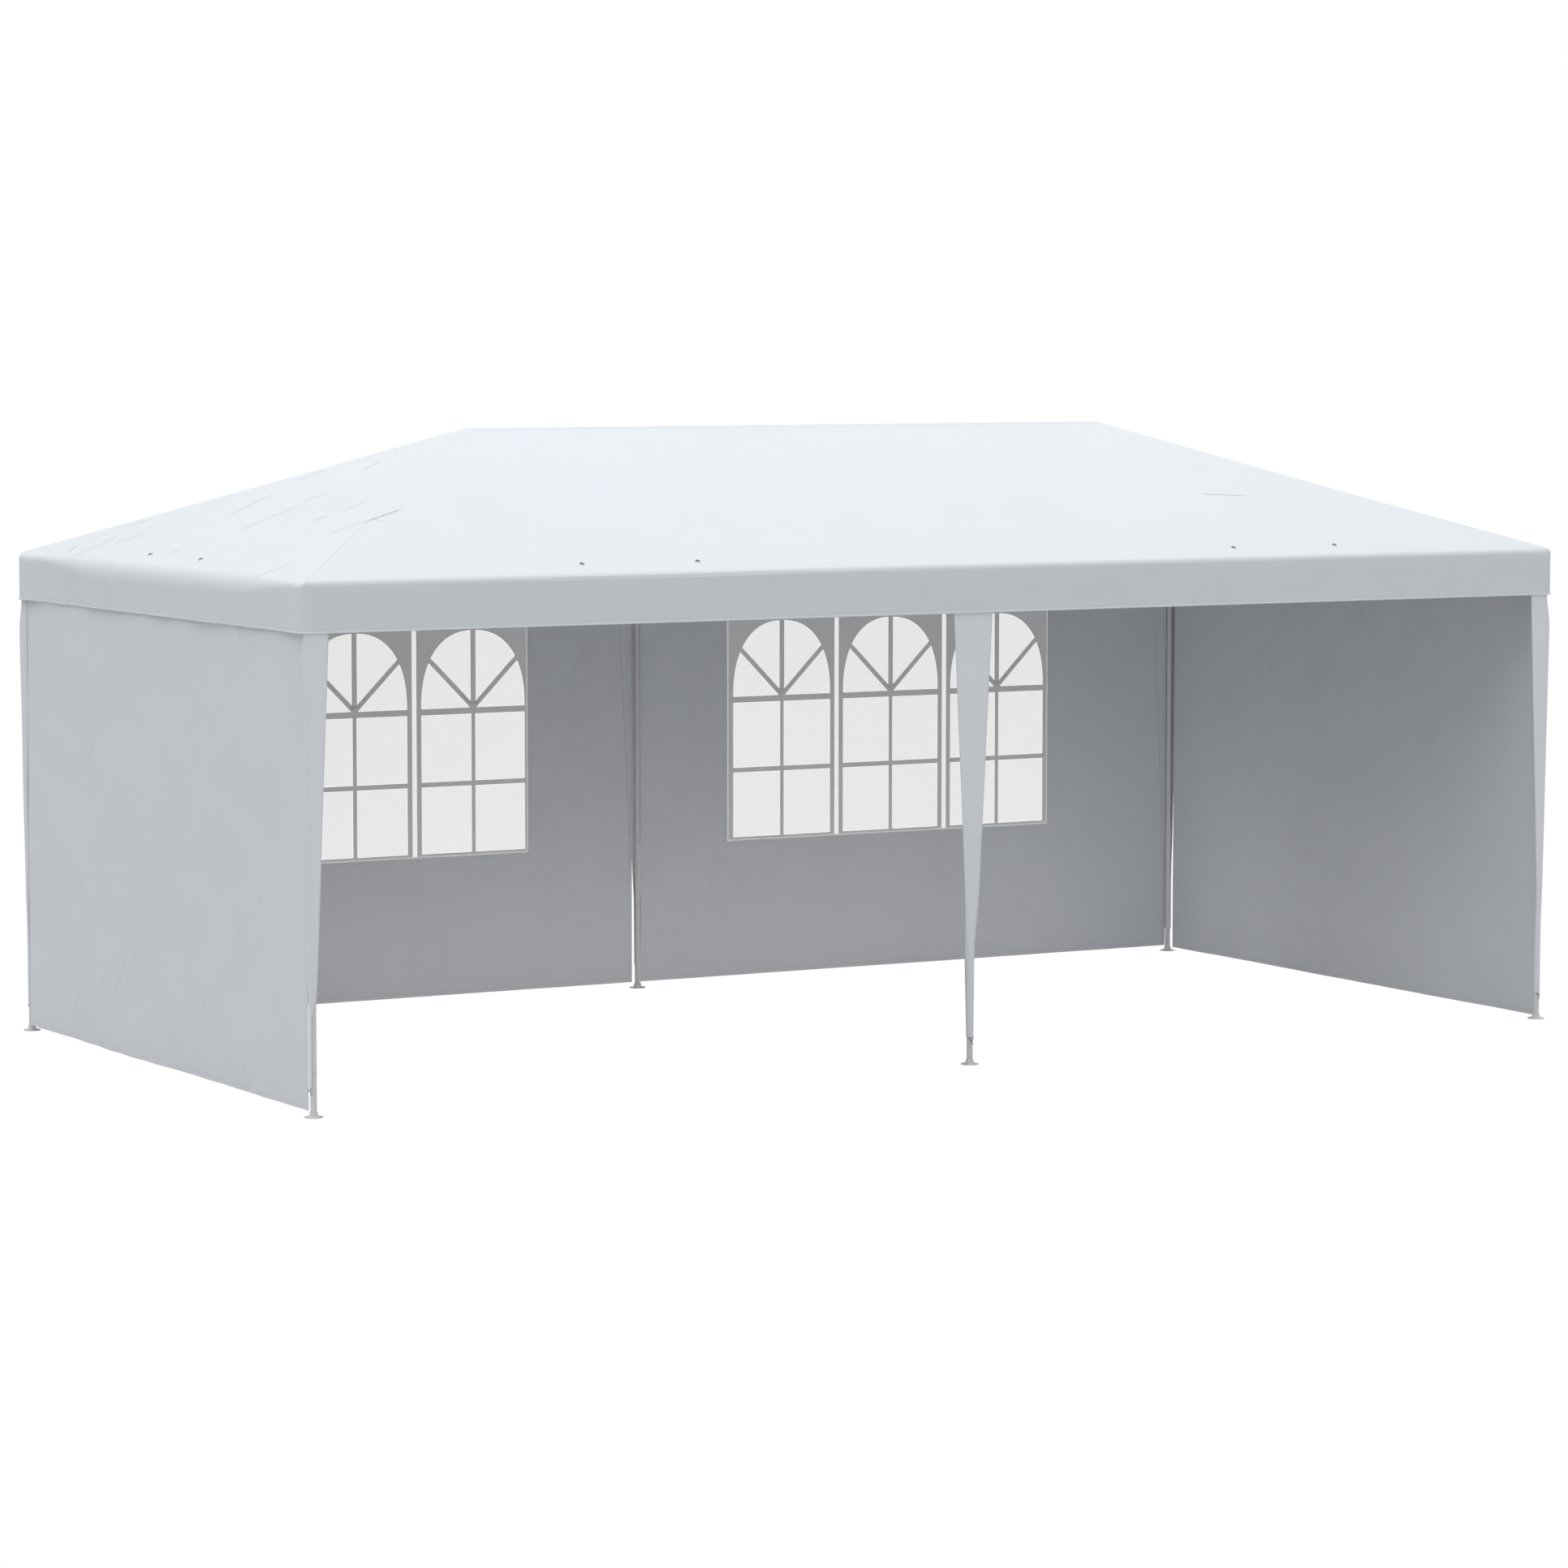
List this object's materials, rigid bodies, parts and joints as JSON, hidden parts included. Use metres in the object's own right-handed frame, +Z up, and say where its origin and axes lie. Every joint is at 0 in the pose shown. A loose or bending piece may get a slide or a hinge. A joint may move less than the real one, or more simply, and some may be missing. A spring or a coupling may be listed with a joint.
{
  "type": "marquee tent",
  "caption": "Free-standing party tent with a hip roof cover, hanging valance, steel tube frame, plain end walls, windowed back walls and an open front.",
  "frame": {"origin": "on the floor under the middle of the tent, at the bottom centre of its box", "axes": "+X along the length, +Y from the open front to the windowed back, +Z up"},
  "size_m": [5.88, 2.927, 2.5673],
  "materials": {
    "frame_steel": "white powder-coated steel tube, satin",
    "foot_plastic": "white moulded plastic, matt",
    "roof_sheet": "white woven polyethylene sheet, coated, slightly glossy",
    "wall_sheet": "white woven polyethylene sheet, coated, slightly creased",
    "cover_sheet": "white woven polyethylene sheet, coated",
    "window_film": "clear soft film with printed white window bars"
  },
  "bodies": {
    "root": {"back_wall_left": "wall_sheet", "back_wall_right": "wall_sheet", "corner_connector_back_left": "frame_steel", "corner_connector_back_right": "frame_steel", "corner_connector_front_left": "frame_steel", "corner_connector_front_right": "frame_steel", "eave_connector_back_middle": "frame_steel", "eave_connector_front_middle": "frame_steel", "eave_tube_back_left": "frame_steel", "eave_tube_back_right": "frame_steel", "eave_tube_front_left": "frame_steel", "eave_tube_front_right": "frame_steel", "eave_tube_left_end": "frame_steel", "eave_tube_right_end": "frame_steel", "end_wall_left": "wall_sheet", "end_wall_right": "wall_sheet", "foot_back_left": "foot_plastic", "foot_back_middle": "foot_plastic", "foot_back_right": "foot_plastic", "foot_front_left": "foot_plastic", "foot_front_middle": "foot_plastic", "foot_front_right": "foot_plastic", "hip_rafter_back_left": "frame_steel", "hip_rafter_back_right": "frame_steel", "hip_rafter_front_left": "frame_steel", "hip_rafter_front_right": "frame_steel", "leg_back_left": "frame_steel", "leg_back_middle": "frame_steel", "leg_back_right": "frame_steel", "leg_cover_back_left": "cover_sheet", "leg_cover_back_middle": "cover_sheet", "leg_cover_back_right": "cover_sheet", "leg_cover_front_left": "cover_sheet", "leg_cover_front_middle": "cover_sheet", "leg_cover_front_right": "cover_sheet", "leg_front_left": "frame_steel", "leg_front_middle": "frame_steel", "leg_front_right": "frame_steel", "middle_rafter_back": "frame_steel", "middle_rafter_front": "frame_steel", "ridge_connector_left": "frame_steel", "ridge_connector_middle": "frame_steel", "ridge_connector_right": "frame_steel", "ridge_tube_left": "frame_steel", "ridge_tube_right": "frame_steel", "roof_panel_back": "roof_sheet", "roof_panel_front": "roof_sheet", "roof_panel_left": "roof_sheet", "roof_panel_right": "roof_sheet", "valance_back": "roof_sheet", "valance_front": "roof_sheet", "valance_left": "roof_sheet", "valance_right": "roof_sheet", "window_film_left": "window_film", "window_film_right": "window_film"}
  },
  "joints": []
}
